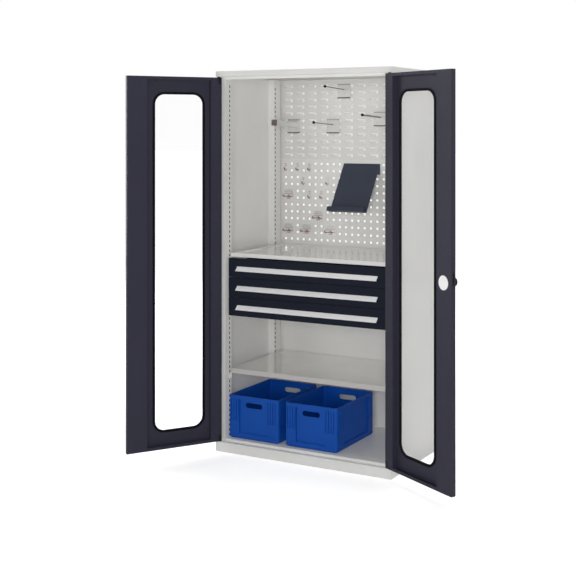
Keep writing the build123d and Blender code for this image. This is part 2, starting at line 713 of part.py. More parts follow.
def make_spindle():
    """Spindle behind the knob, with the pinion between the rods."""
    pinion = ROD_OFFSET - ROD_RADIUS - PINION_GAP
    root = ROSETTE_THICKNESS + THRUST_GAP
    with BuildPart() as spindle:
        with BuildSketch(spindle_plane(-root)):
            Circle(SPINDLE_RADIUS)
        extrude(amount=root + DOOR_THICKNESS - 3 * DOOR_SHEET)
        with BuildSketch(spindle_plane(rod_depth - ROD_RADIUS)):
            Circle(pinion)
        extrude(amount=2 * ROD_RADIUS)
    save(spindle, "lock_spindle")


def make_rosette():
    """Bearing plate on the door's outer face."""
    with BuildPart() as rosette:
        with BuildSketch(spindle_plane(-ROSETTE_THICKNESS)):
            Circle(ROSETTE_RADIUS)
            Circle(SPINDLE_RADIUS + RUNNING_CLEARANCE, mode=Mode.SUBTRACT)
        extrude(amount=ROSETTE_THICKNESS)
    save(rosette, "lock_rosette")


def make_cover():
    """Round cap over the mechanism, on the inner plate."""
    with BuildPart() as cover:
        with BuildSketch(spindle_plane(DOOR_THICKNESS)):
            Circle(COVER_RADIUS)
        extrude(amount=COVER_THICKNESS)
        fillet(cover.faces().sort_by(Axis.Y)[0].edges(), COVER_ROUND)
    save(cover, "lock_cover")


def rod_span(direction):
    """Ends of the upper (+1) or lower (-1) rod when it is drawn back."""
    if direction > 0:
        return LOCK_HEIGHT - ROD_OFFSET, door_top - ROD_TIP
    return door_bottom + ROD_TIP, LOCK_HEIGHT + ROD_OFFSET


def make_rod(direction, name):
    """Locking rod that the pinion drives up or down."""
    z0, z1 = rod_span(direction)
    with BuildPart(door_frame(1)) as rod:
        with Locations((spindle_s + direction * ROD_OFFSET, depth_y(1, rod_depth),
                        (z0 + z1) / 2)):
            Cylinder(ROD_RADIUS, z1 - z0)
    save(rod, name)


def guide_spots():
    """Centre heights of each rod's guides."""
    middle = (door_top + LOCK_HEIGHT) / 2
    low = (door_bottom + LOCK_HEIGHT) / 2
    near_top = door_top - 4 * GUIDE_LENGTH
    near_bottom = door_bottom + 4 * GUIDE_LENGTH
    return ((1, middle), (1, near_top), (-1, low), (-1, near_bottom))


def make_guides():
    """Blocks on the skin that the rods slide through."""
    with BuildPart(door_frame(1)) as guides:
        for direction, z in guide_spots():
            s = spindle_s + direction * ROD_OFFSET
            leaf_block(1, s - GUIDE_WIDTH / 2, s + GUIDE_WIDTH / 2, DOOR_SHEET,
                       DOOR_THICKNESS - DOOR_SHEET, z - GUIDE_LENGTH / 2, z + GUIDE_LENGTH / 2)
            with Locations((s, depth_y(1, rod_depth), z)):
                Cylinder(ROD_RADIUS + RUNNING_CLEARANCE, GUIDE_LENGTH, mode=Mode.SUBTRACT)
    save(guides, "lock_rod_guides")


def make_bolt():
    """Flat bolt behind the slot in the free edge."""
    s1 = leaf_end - DOOR_SHEET - BOLT_SETBACK
    with BuildPart(door_frame(1)) as bolt:
        leaf_block(1, s1 - BOLT_LENGTH, s1, rod_depth - BOLT_THICKNESS / 2,
                   rod_depth + BOLT_THICKNESS / 2, BOLT_HEIGHT - BOLT_SIZE / 2,
                   BOLT_HEIGHT + BOLT_SIZE / 2)
    save(bolt, "lock_bolt")


def make_bolt_guides():
    """Bars above and below the bolt, fixed to the skin."""
    s1 = leaf_end - DOOR_SHEET
    with BuildPart(door_frame(1)) as guides:
        for direction in (-1, 1):
            near = BOLT_HEIGHT + direction * (BOLT_SIZE / 2 + BOLT_PLAY)
            leaf_block(1, s1 - BOLT_LENGTH - BOLT_SETBACK, s1, DOOR_SHEET,
                       rod_depth + BOLT_THICKNESS / 2, near, near + direction * BOLT_BAR)
    save(guides, "lock_bolt_guides")


# =============================================================================================
# Contents
# =============================================================================================
def make_crate(centre, name):
    """Open stacking crate with corner posts, recessed fields, grips and ribs."""
    y0 = CRATE_FRONT
    y1 = y0 + CRATE_LENGTH
    middle = (y0 + y1) / 2
    field = CRATE_WIDTH / 2 - CRATE_POST
    side_field = CRATE_LENGTH / 2 - CRATE_POST
    inner_x = CRATE_WIDTH / 2 - CRATE_SIDE_RECESS - CRATE_WALL
    inner_y = CRATE_LENGTH / 2 - CRATE_RECESS - CRATE_WALL
    rim_z = floor_z + CRATE_HEIGHT
    grip_z = rim_z - GRIP_DROP
    with BuildPart() as crate:
        with BuildSketch(Plane((centre, middle, floor_z))):
            RectangleRounded(CRATE_WIDTH, CRATE_LENGTH, CRATE_CORNER)
        extrude(amount=CRATE_HEIGHT)
        chamfer(crate.faces().sort_by(Axis.Z)[0].edges(), CRATE_FOOT_ROUND)
        for direction in (-1, 1):
            wall_y = middle + direction * CRATE_LENGTH / 2
            block(centre - field, centre + field, wall_y, wall_y - direction * CRATE_RECESS,
                  floor_z + CRATE_BAND, rim_z - CRATE_RIM, Mode.SUBTRACT)
            side_wall = centre + direction * CRATE_WIDTH / 2
            block(side_wall, side_wall - direction * CRATE_SIDE_RECESS, middle - side_field,
                  middle + side_field, floor_z + CRATE_BAND, rim_z - CRATE_RIM, Mode.SUBTRACT)
        with BuildSketch(Plane((centre, middle, floor_z + CRATE_WALL))):
            RectangleRounded(2 * inner_x, 2 * inner_y, CRATE_CORNER / 2)
        extrude(amount=CRATE_HEIGHT, mode=Mode.SUBTRACT)
        with BuildSketch(Plane.XZ.offset(-y0).shift_origin((centre, y0, grip_z))):
            SlotOverall(GRIP_WIDTH, GRIP_HEIGHT)
        extrude(amount=-CRATE_LENGTH, mode=Mode.SUBTRACT)
        crate_ribs(centre, middle, rim_z)
    save(crate, name)


def crate_ribs(centre, middle, rim_z):
    """Grooves that leave upright ribs on the corner posts."""
    z0 = floor_z + RIB_FOOT
    z1 = rim_z - CRATE_RIM
    half_x = CRATE_WIDTH / 2
    half_y = CRATE_LENGTH / 2
    insets = [CRATE_CORNER + RIB_PITCH * number + RIB_GROOVE / 2 for number in range(RIB_COUNT)]
    corners = [(sx, sy, inset) for sx in (-1, 1) for sy in (-1, 1) for inset in insets]
    level = (z0 + z1) / 2
    with Locations(*[(centre + sx * (half_x - inset), middle + sy * (half_y - RIB_DEPTH / 2), level)
                     for sx, sy, inset in corners]):
        Box(RIB_GROOVE, RIB_DEPTH, z1 - z0, mode=Mode.SUBTRACT)
    with Locations(*[(centre + sx * (half_x - RIB_DEPTH / 2), middle + sy * (half_y - inset), level)
                     for sx, sy, inset in corners]):
        Box(RIB_DEPTH, RIB_GROOVE, z1 - z0, mode=Mode.SUBTRACT)


def column_x(column):
    return PERFORATION_PITCH * (column - (PERFORATION_COLUMNS - 1) / 2)


def row_z(row):
    return LOWEST_PERFORATION + PERFORATION_PITCH * (PERFORATION_ROWS - 1 - row)


def peg(x, z, size, reach):
    """Square peg through a hole of the perforated panel."""
    block(x - size / 2, x + size / 2, panel_y, panel_y + reach, z - size / 2, z + size / 2)


def make_document_holder():
    """Leaning plate with a trough at its foot, hung on the perforated panel."""
    x0 = HOLDER_LEFT
    x1 = x0 + HOLDER_WIDTH
    foot_y = panel_y - HOLDER_LEAN
    foot_z = HOLDER_TOP - HOLDER_DROP
    lip_y = foot_y - TROUGH_REACH
    slope = HOLDER_LEAN / HOLDER_DROP
    with BuildPart() as holder:
        with BuildSketch(Plane.YZ.offset(x0)):
            with BuildLine():
                profile = Polyline((panel_y - HOLDER_SHEET / 2, HOLDER_TOP - HOLDER_TAB),
                                   (panel_y - HOLDER_SHEET / 2, HOLDER_TOP),
                                   (foot_y, foot_z),
                                   (lip_y, foot_z + TROUGH_LIP / 2),
                                   (lip_y + TROUGH_LIP / 2, foot_z + 3 * TROUGH_LIP / 2))
                offset(profile, HOLDER_SHEET / 2, side=Side.BOTH)
            make_face()
        extrude(amount=HOLDER_WIDTH)
        tab_y = panel_y - HOLDER_SHEET - HOLDER_TAB * slope
        for start in (x0, x1 - HOLDER_SHEET):
            with BuildSketch(Plane.YZ.offset(start)):
                with BuildLine():
                    Polyline((panel_y - HOLDER_SHEET, HOLDER_TOP - HOLDER_SHEET),
                             (panel_y - HOLDER_SHEET, HOLDER_TOP - HOLDER_TAB),
                             (tab_y, HOLDER_TOP - HOLDER_TAB), close=True)
                make_face()
            extrude(amount=HOLDER_SHEET)
        for column in holder_columns():
            peg(column_x(column), row_z(1), HOLDER_PEG, PEG_REACH)
    save(holder, "document_holder")


def holder_columns():
    """Perforation columns behind the holder's outer thirds."""
    first = round((HOLDER_LEFT + HOLDER_WIDTH / 6) / PERFORATION_PITCH
                  + (PERFORATION_COLUMNS - 1) / 2)
    last = round((HOLDER_LEFT + 5 * HOLDER_WIDTH / 6) / PERFORATION_PITCH
                 + (PERFORATION_COLUMNS - 1) / 2)
    return first, last


def wire_prong(x, z, reach):
    """Round prong that runs forwards from a plate and turns up at its tip."""
    root = panel_y - HOOK_PLATE
    tip = root - reach
    with BuildPart(mode=Mode.PRIVATE) as prong:
        with BuildLine(Plane.YZ.offset(x)) as path:
            FilletPolyline((root, z), (tip, z), (tip, z + HOOK_RISE), radius=2 * HOOK_WIRE)
        with BuildSketch(Plane.XZ.offset(-root).shift_origin((x, root, z))):
            Circle(HOOK_WIRE)
        sweep(path=path.line)
    return prong.part


def make_single_hooks():
    """Narrow plates over two holes, each with one short prong."""
    with BuildPart() as hooks:
        for column, row in SINGLE_HOOKS:
            x = column_x(column)
            middle = (row_z(row) + row_z(row + 1)) / 2
            block(x - SINGLE_WIDTH / 2, x + SINGLE_WIDTH / 2, panel_y - HOOK_PLATE, panel_y,
                  middle - SINGLE_HEIGHT / 2, middle + SINGLE_HEIGHT / 2)
            peg(x, row_z(row), HOOK_PEG, PEG_REACH)
            add(wire_prong(x, row_z(row + 1) + 2 * HOOK_WIRE, SINGLE_REACH))
    save(hooks, "single_hooks")


def make_double_hooks():
    """Wide plates over two columns, each with two prongs."""
    half = PERFORATION_PITCH / 2
    with BuildPart() as hooks:
        for column, row in DOUBLE_HOOKS:
            x = column_x(column) + half
            middle = (row_z(row) + row_z(row + 1)) / 2
            block(x - DOUBLE_WIDTH / 2, x + DOUBLE_WIDTH / 2, panel_y - HOOK_PLATE, panel_y,
                  middle - DOUBLE_HEIGHT / 2, middle + DOUBLE_HEIGHT / 2)
            for step in (-half, half):
                peg(x + step, row_z(row), HOOK_PEG, PEG_REACH)
                add(wire_prong(x + step, middle - HOOK_RISE, DOUBLE_REACH))
    save(hooks, "double_hooks")


def arm_top(row):
    """Upper edge of a louvre, counted from the highest row."""
    return LOWEST_LOUVRE + PERFORATION_PITCH * (LOUVRE_ROWS - 1 - row)


plate_rear = panel_y - LOUVRE_REACH


def arm_plate(x, row):
    """Plate that hangs in front of the louvres."""
    z1 = arm_top(row)
    block(x - ARM_PLATE / 2, x + ARM_PLATE / 2, plate_rear - ARM_SHEET, plate_rear,
          z1 - ARM_PLATE, z1)


def arm_axis(x, row):
    """Plane across an arm at its root; z runs forwards and a little up."""
    tilt = radians(ARM_TILT)
    return Plane(origin=(x, plate_rear - ARM_SHEET, arm_top(row) - ARM_DROP), x_dir=(1, 0, 0),
                 z_dir=(0, -cos(tilt), sin(tilt)))


def make_rod_arms():
    """Plates with a round arm."""
    with BuildPart() as arms:
        for x, row, radius in ROD_ARMS:
            arm_plate(x, row)
            with BuildSketch(arm_axis(x, row).offset(-ARM_SHEET / 2)):
                Circle(radius)
            extrude(amount=ARM_REACH)
    save(arms, "rod_arms")


def make_arm_balls():
    """End balls pushed onto the round arms."""
    with BuildPart() as balls:
        for x, row, radius in ROD_ARMS:
            with BuildSketch(arm_axis(x, row).offset(ARM_REACH - ARM_SHEET / 2)):
                Circle(BALL_RADIUS)
            extrude(amount=2 * BALL_RADIUS)
        fillet(balls.edges(), BALL_RADIUS * 0.8)
    save(balls, "arm_end_balls")


def make_tube_arm():
    """Plate with a square tube."""
    x, row = TUBE_ARM
    with BuildPart() as arm:
        arm_plate(x, row)
        with BuildSketch(arm_axis(x, row).offset(-ARM_SHEET / 2)):
            RectangleRounded(TUBE_SIZE, TUBE_SIZE, 2 * TUBE_WALL)
            RectangleRounded(TUBE_SIZE - 2 * TUBE_WALL, TUBE_SIZE - 2 * TUBE_WALL, TUBE_WALL,
                             mode=Mode.SUBTRACT)
        extrude(amount=ARM_REACH)
    save(arm, "tube_arm")


def make_tube_plug():
    """Plastic plug on the tube's end."""
    x, row = TUBE_ARM
    with BuildPart() as plug:
        with BuildSketch(arm_axis(x, row).offset(ARM_REACH - ARM_SHEET / 2)):
            RectangleRounded(TUBE_SIZE, TUBE_SIZE, 2 * TUBE_WALL)
        extrude(amount=PLUG_LENGTH)
    save(plug, "tube_arm_plug")


# =============================================================================================
make_plinth()
make_cap()
for side, word in ((-1, "left"), (1, "right")):
    make_side_wall(side, f"side_wall_{word}")
    make_upright(side, jamb_y, front_upright_rear, front_slot_y, f"front_upright_{word}")
    make_upright(side, rear_upright_front, rear_upright_rear, rear_slot_y,
                 f"rear_upright_{word}")
    make_leaf(side, f"door_{word}_leaf")
    make_hinge_box(side, f"door_{word}_hinge_box")
    make_bushes(side, f"door_{word}_bushes")
    make_lock_box(side, f"door_{word}_lock_box")
    make_gasket(side, f"door_{word}_gasket")
    make_pane(side, f"door_{word}_pane")
make_header()
make_floor()
make_perforated_panel()
make_louvre_panel()
make_lower_panel()
make_shelf(UPPER_SHELF_SLOT, UPPER_SHELF_LIP, TRAY_DEPTH, "upper_shelf")
make_shelf(MIDDLE_SHELF_SLOT, MIDDLE_SHELF_LIP, 0, "middle_shelf")
make_clips()
make_runners()
for number in range(DRAWER_COUNT):
    make_drawer_front(number)
    make_drawer_handle(number)
    make_drawer_tray(number)
    make_drawer_slides(number)
make_hinge_pins()
make_knob()
make_spindle()
make_rosette()
make_cover()
make_rod(1, "lock_rod_upper")
make_rod(-1, "lock_rod_lower")
make_guides()
make_bolt()
make_bolt_guides()
for centre, word in zip(CRATE_CENTRES, ("left", "right")):
    make_crate(centre, f"crate_{word}")
make_document_holder()
make_single_hooks()
make_double_hooks()
make_rod_arms()
make_arm_balls()
make_tube_arm()
make_tube_plug()
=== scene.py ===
import json
import math

import bmesh
import bpy
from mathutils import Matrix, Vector


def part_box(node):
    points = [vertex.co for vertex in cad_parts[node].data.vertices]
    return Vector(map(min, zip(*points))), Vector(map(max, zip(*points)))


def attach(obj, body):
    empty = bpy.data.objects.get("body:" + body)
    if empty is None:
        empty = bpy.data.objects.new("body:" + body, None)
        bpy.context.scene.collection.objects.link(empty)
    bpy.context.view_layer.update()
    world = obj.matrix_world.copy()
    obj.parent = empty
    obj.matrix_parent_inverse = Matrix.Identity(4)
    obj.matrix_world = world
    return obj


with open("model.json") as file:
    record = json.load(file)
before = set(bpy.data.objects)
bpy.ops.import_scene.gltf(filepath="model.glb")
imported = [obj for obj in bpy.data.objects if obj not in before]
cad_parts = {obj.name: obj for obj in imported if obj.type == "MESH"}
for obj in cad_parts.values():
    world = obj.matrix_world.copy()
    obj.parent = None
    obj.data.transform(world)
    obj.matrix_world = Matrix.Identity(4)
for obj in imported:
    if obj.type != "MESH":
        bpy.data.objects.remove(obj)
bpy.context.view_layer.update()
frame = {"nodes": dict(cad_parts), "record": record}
scene = bpy.context.scene
nodes = frame["nodes"]
scene.view_settings.view_transform = "Standard"

# Tool cabinet with doors: camera, studio and materials for the CAD nodes, and the small pieces
# that only show as thin lines.  Lengths are in metres.  The cabinet's front looks along -Y.


# ---------------------------------------------------------------------------------------------
# Camera, at the photograph's place
# ---------------------------------------------------------------------------------------------
CAMERA_PLACE = (2.7338, -4.9373, 1.6601)
CAMERA_LEVEL = 90               # degrees up from looking straight down
CAMERA_TURN = 27.658            # degrees left of straight ahead
CAMERA_FOCUS = 1091.37          # focal length in pixels of the square frame
CAMERA_CENTRE = (354.25, 127.76)    # the pixel that it looks straight at
CAMERA_RANGE = 100              # far enough to see the whole floor
FRAME_PIXELS = 576
SENSOR_WIDTH = 36               # millimetres

lens = bpy.data.cameras.new("camera")
lens.sensor_width = SENSOR_WIDTH
lens.lens = CAMERA_FOCUS / FRAME_PIXELS * SENSOR_WIDTH
lens.shift_x = (FRAME_PIXELS / 2 - CAMERA_CENTRE[0]) / FRAME_PIXELS
lens.shift_y = (CAMERA_CENTRE[1] - FRAME_PIXELS / 2) / FRAME_PIXELS
lens.clip_end = CAMERA_RANGE
camera = bpy.data.objects.new("camera", lens)
camera.location = CAMERA_PLACE
camera.rotation_euler = (math.radians(CAMERA_LEVEL), 0, math.radians(CAMERA_TURN))
scene.collection.objects.link(camera)
scene.camera = camera


# ---------------------------------------------------------------------------------------------
# Lamps
# ---------------------------------------------------------------------------------------------
LAMPS = (                       # name, place, the point that it is aimed at, size, watts
    ("key_light", (2.6, -5.8, 1.5), (0.0, 0.0, 1.0), 1.8, 120),
    ("fill_light", (4.2, -5.2, 2.6), (0.0, 0.0, 0.9), 2.4, 20),
    ("front_light", (-2.6, -5.6, 1.6), (0.2, 0.0, 1.0), 2.0, 42),
    ("side_light", (5.0, 1.8, 2.6), (0.5, 0.0, 1.0), 2.4, 50),
    ("left_light", (-5.4, -0.2, 1.8), (0.6, -0.4, 1.0), 3.0, 150),
    ("top_light", (0.4, 0.9, 5.0), (0.4, 0.9, 0.0), 3.6, 120),
    ("back_light", (-4.2, 4.2, 2.8), (0.0, 0.0, 1.0), 2.6, 110),
    ("even_light", (3.4, -2.2, 4.6), (0.0, 0.0, 1.2), 1.5, 40),
)
# The photograph's light also reaches what stands under the cap and the shelves.
SHADOWLESS_LAMPS = ("even_light",)


def area_light(name, place, target, size, watts):
    """Soft square lamp aimed at a point."""
    data = bpy.data.lights.new(name, "AREA")
    data.shape = "SQUARE"
    data.size = size
    data.energy = watts
    data.use_shadow = name not in SHADOWLESS_LAMPS
    lamp = bpy.data.objects.new(name, data)
    lamp.location = place
    lamp.rotation_euler = (Vector(target) - Vector(place)).to_track_quat("-Z", "Y").to_euler()
    scene.collection.objects.link(lamp)


for lamp_values in LAMPS:
    area_light(*lamp_values)


# ---------------------------------------------------------------------------------------------
# Shader helpers
# ---------------------------------------------------------------------------------------------
NOISE_LOW = 0.3                 # nearly all of a noise lies between these
NOISE_HIGH = 0.7


def new_material(name):
    """A material with its node tree and its principled shader."""
    material = bpy.data.materials.new(name)
    material.use_nodes = True
    tree = material.node_tree
    return material, tree, tree.nodes["Principled BSDF"]


def add_node(tree, kind, **values):
    """A node with attributes set by name and sockets set by number or name in `ins`."""
    ins = values.pop("ins", {})
    node = tree.nodes.new(kind)
    for key, value in values.items():
        setattr(node, key, value)
    for key, value in ins.items():
        node.inputs[key].default_value = value
    return node


def noise(tree, scale, detail, rough, stretch=None):
    """Noise in object space, in cycles per metre, optionally stretched."""
    place = add_node(tree, "ShaderNodeTexCoord")
    source = place.outputs["Object"]
    if stretch:
        mapping = add_node(tree, "ShaderNodeMapping", ins={"Scale": stretch})
        tree.links.new(source, mapping.inputs["Vector"])
        source = mapping.outputs["Vector"]
    node = add_node(tree, "ShaderNodeTexNoise",
                    ins={"Scale": scale, "Detail": detail, "Roughness": rough})
    tree.links.new(source, node.inputs["Vector"])
    return node.outputs["Fac"]


def spread(tree, source, low, high, first=NOISE_LOW, last=NOISE_HIGH):
    """Maps the range from first to last, a noise's own unless given, onto low to high."""
    node = add_node(tree, "ShaderNodeMapRange",
                    ins={"From Min": first, "From Max": last, "To Min": low, "To Max": high})
    tree.links.new(source, node.inputs["Value"])
    return node.outputs["Result"]


def blend_colours(tree, factor, first, second):
    """Colour between two by a factor; each colour is a tuple or a socket."""
    node = add_node(tree, "ShaderNodeMix", data_type="RGBA")
    tree.links.new(factor, node.inputs["Factor"])
    for key, value in (("A", first), ("B", second)):
        socket = [s for s in node.inputs if s.name == key and s.type == "RGBA"][0]
        if isinstance(value, tuple):
            socket.default_value = (*value, 1)
        else:
            tree.links.new(value, socket)
    return [s for s in node.outputs if s.type == "RGBA"][0]


def shade(colour, factor):
    """Darker or lighter version of a colour."""
    return tuple(min(1.0, channel * factor) for channel in colour)


def cloudy(tree, clouds, colour, darker, lighter):
    """Colour that clouds from 0 to 1 vary between a darker and a lighter shade of itself."""
    return blend_colours(tree, clouds, shade(colour, darker), shade(colour, lighter))


def axes_of(tree, vector):
    """X, Y and Z of the object-space place ("Object") or direction ("Normal") of a surface."""
    place = add_node(tree, "ShaderNodeTexCoord")
    axes = add_node(tree, "ShaderNodeSeparateXYZ")
    tree.links.new(place.outputs[vector], axes.inputs["Vector"])
    return axes.outputs


def bump_from(tree, shader, sources):
    """Bump made of several heights, each (socket, (distance in metres, strength))."""
    normal = None
    for source, (distance, strength) in sources:
        node = add_node(tree, "ShaderNodeBump", ins={"Distance": distance, "Strength": strength})
        tree.links.new(source, node.inputs["Height"])
        if normal:
            tree.links.new(normal, node.inputs["Normal"])
        normal = node.outputs["Normal"]
    tree.links.new(normal, shader.inputs["Normal"])


def seen_and_given(tree, socket, given, seen):
    """Strength of a backdrop: one value for the light that it gives and one as it is seen."""
    rays = add_node(tree, "ShaderNodeLightPath")
    level = add_node(tree, "ShaderNodeMapRange", ins={"To Min": given})
    if isinstance(seen, float):
        level.inputs["To Max"].default_value = seen
    else:
        tree.links.new(seen, level.inputs["To Max"])
    tree.links.new(rays.outputs["Is Camera Ray"], level.inputs["Value"])
    tree.links.new(level.outputs["Result"], socket)


# ---------------------------------------------------------------------------------------------
# Backdrop and floor
# ---------------------------------------------------------------------------------------------
WHITE_LIGHT = (1.0, 1.0, 1.0, 1)
SKY_SEEN = 1.0                  # brightness of the backdrop itself
SKY_LIGHT = 0.10                # and of the light that it gives
FLOOR_REACH = 60                # from the middle to each edge
FLOOR_COLOUR = (0.90, 0.90, 0.90, 1)
FLOOR_ROUGH = 0.9
FLOOR_GLOW = 0.50               # what is seen of the floor's white in full shadow
SHADOW_REACH = (1.0, 3.2)       # from the middle of the floor: shadows full, shadows gone


def make_backdrop():
    world = bpy.data.worlds.new("studio")
    scene.world = world
    world.use_nodes = True
    backdrop = world.node_tree.nodes["Background"]
    backdrop.inputs["Color"].default_value = WHITE_LIGHT
    seen_and_given(world.node_tree, backdrop.inputs["Strength"], SKY_LIGHT, SKY_SEEN)


def floor_coat():
    """Pale floor that turns into the backdrop's white away from the cabinet."""
    material, tree, shader = new_material("studio_floor")
    shader.inputs["Base Color"].default_value = FLOOR_COLOUR
    shader.inputs["Roughness"].default_value = FLOOR_ROUGH
    shader.inputs["Emission Color"].default_value = WHITE_LIGHT
    place = add_node(tree, "ShaderNodeTexCoord")
    reach = add_node(tree, "ShaderNodeVectorMath", operation="LENGTH")
    glow = add_node(tree, "ShaderNodeMapRange", interpolation_type="SMOOTHSTEP",
                    ins={"From Min": SHADOW_REACH[0], "From Max": SHADOW_REACH[1],
                         "To Min": FLOOR_GLOW, "To Max": SKY_SEEN})
    tree.links.new(place.outputs["Object"], reach.inputs[0])
    tree.links.new(reach.outputs["Value"], glow.inputs["Value"])
    seen_and_given(tree, shader.inputs["Emission Strength"], 0.0, glow.outputs["Result"])
    return material


def make_floor():
    corners = [(x * FLOOR_REACH, y * FLOOR_REACH, 0)
               for x, y in ((-1, -1), (1, -1), (1, 1), (-1, 1))]
    mesh = bpy.data.meshes.new("studio_floor")
    mesh.from_pydata(corners, [], [(0, 1, 2, 3)])
    mesh.materials.append(floor_coat())
    floor = bpy.data.objects.new("studio_floor", mesh)
    scene.collection.objects.link(floor)


make_backdrop()
make_floor()


# ---------------------------------------------------------------------------------------------
# Powder coat
#
# Here and below a noise is (cycles per metre, detail, roughness) and a bump is (distance in
# metres, strength).  A shade is what a colour is multiplied by, a depth is how far such a shade
# lies from 1, and a gloss spread is how far the roughness lies from its middle value.
# ---------------------------------------------------------------------------------------------
COAT_CLOUDS = (3.2, 5, 0.6)
COAT_DEPTH = 0.03
COAT_SPECKS = (720, 2, 0.6)
SPECK_RANGE = (0.52, 0.75)      # the part of the noise over which specks fade in
SPECK_MOST = 0.35
SPECK_SHADE = 1.12
COAT_GLOSS = (46, 4, 0.65)
COAT_GLOSS_SPREAD = 0.05
COAT_GRAIN = (900, 3, 0.55)
COAT_GRAIN_BUMP = (0.00012, 0.5)
COAT_WAVES = (108, 2, 0.5)
COAT_WAVES_BUMP = (0.000264, 0.3)
HIGHLIGHT_LEAN_RANGE = (0.3, 0.6)       # how far a face leans where its painted highlight fades in


def painted_highlight_bends(tree, tone, highlight_tone):
    """Painted highlight: a lighter tone on the faces of a pressing that lean up or to the right.
    """
    axes = axes_of(tree, "Normal")
    lean = add_node(tree, "ShaderNodeMath", operation="MAXIMUM")
    tree.links.new(axes["X"], lean.inputs[0])
    tree.links.new(axes["Z"], lean.inputs[1])
    return blend_colours(tree, spread(tree, lean.outputs[0], 0, 1, *HIGHLIGHT_LEAN_RANGE), tone, highlight_tone)


def powder_coat(name, colour, rough, sheen, highlight_tone=None):
    """Textured powder coat: fine grain, faint cloudiness and a slightly uneven gloss."""
    material, tree, shader = new_material(name)
    clouds = spread(tree, noise(tree, *COAT_CLOUDS), 0, 1)
    tone = cloudy(tree, clouds, colour, 1 - COAT_DEPTH, 1 + COAT_DEPTH)
    specks = spread(tree, noise(tree, *COAT_SPECKS), 0, SPECK_MOST, *SPECK_RANGE)
    tone = blend_colours(tree, specks, tone, shade(colour, SPECK_SHADE))
    # Painted highlight on the faces that lean up or to the right.
    if highlight_tone:
        tone = painted_highlight_bends(tree, tone, highlight_tone)
    gloss = spread(tree, noise(tree, *COAT_GLOSS), rough - COAT_GLOSS_SPREAD,
                   rough + COAT_GLOSS_SPREAD)
    tree.links.new(tone, shader.inputs["Base Color"])
    tree.links.new(gloss, shader.inputs["Roughness"])
    shader.inputs["Specular IOR Level"].default_value = sheen
    bump_from(tree, shader, [(noise(tree, *COAT_GRAIN), COAT_GRAIN_BUMP),
                             (noise(tree, *COAT_WAVES), COAT_WAVES_BUMP)])
    return material


# ---------------------------------------------------------------------------------------------
# Galvanised, zinc-plated and drawn metal
# ---------------------------------------------------------------------------------------------
METAL_CLOUDS = (5.0, 6, 0.62)
METAL_SHADES = (0.93, 1.06)
METAL_FINE = (260, 4, 0.6)
METAL_FINE_BUMP = (0.00004, 0.35)
METAL_GLOSS_SPREAD = 0.07
EVEN = (1, 1, 1)                # no stretch
SPANGLE_CELLS = 75.0            # crystals per metre
SPANGLE_SHADE = 0.72
LIP_RANGE = (-0.9, -0.5)        # Y of the direction of a face: straight forwards, no longer so
LIP_ROUGHER = 0.35
LIP_METALLIC = 0.1
DIPPED_CLOUDS = (60, 4, 0.6)
DIPPED_PLATE_SHADES = (0.95, 1.04)
DIPPED_PRONG_SHADES = (0.85, 1.12)
DIPPED_GLOSS_SPREAD = 0.06
DIPPED_METALLIC = 0.3
DIPPED_EDGE = 0.001             # half the width over which the tone changes


def spangled(tree, tone, colour, depth):
    """Crystal pattern of galvanised sheet over a tone."""
    cells = add_node(tree, "ShaderNodeTexVoronoi", ins={"Scale": SPANGLE_CELLS, "Randomness": 1.0})
    place = add_node(tree, "ShaderNodeTexCoord")
    tree.links.new(place.outputs["Object"], cells.inputs["Vector"])
    grey = add_node(tree, "ShaderNodeSeparateColor")
    tree.links.new(cells.outputs["Color"], grey.inputs["Color"])
    crystals = spread(tree, grey.outputs["Red"], 0, depth, 0.0, 1.0)
    return blend_colours(tree, crystals, tone, shade(colour, SPANGLE_SHADE))


def forward_faces(tree):
    """1 on the faces that look straight forwards, such as a shelf's lip, and 0 elsewhere."""
    return spread(tree, axes_of(tree, "Normal")["Y"], 1, 0, *LIP_RANGE)


def bare_metal(name, colour, rough, metallic, stretch=EVEN, spangle=0.0, lip=None):
    """Zinc-plated, galvanised or drawn metal; a lip colour paints shade on the faces that look
    forwards, which are also made rougher and less metallic.
    """
    material, tree, shader = new_material(name)
    clouds = spread(tree, noise(tree, *METAL_CLOUDS, stretch), 0, 1)
    tone = cloudy(tree, clouds, colour, *METAL_SHADES)
    if spangle:
        tone = spangled(tree, tone, colour, spangle)
    fine = noise(tree, *METAL_FINE, stretch)
    gloss = spread(tree, fine, rough - METAL_GLOSS_SPREAD, rough + METAL_GLOSS_SPREAD)
    shader.inputs["Metallic"].default_value = metallic
    if lip:
        # Painted shade: the lip colour darkens the faces that look forwards.
        forward = forward_faces(tree)
        tone = blend_colours(tree, forward, tone, lip)
        dull = add_node(tree, "ShaderNodeMath", operation="MULTIPLY_ADD", ins={1: LIP_ROUGHER})
        tree.links.new(forward, dull.inputs[0])
        tree.links.new(gloss, dull.inputs[2])
        gloss = dull.outputs[0]
        tree.links.new(spread(tree, forward, metallic, LIP_METALLIC, 0, 1),
                       shader.inputs["Metallic"])
    tree.links.new(tone, shader.inputs["Base Color"])
    tree.links.new(gloss, shader.inputs["Roughness"])
    bump_from(tree, shader, [(fine, METAL_FINE_BUMP)])
    return material


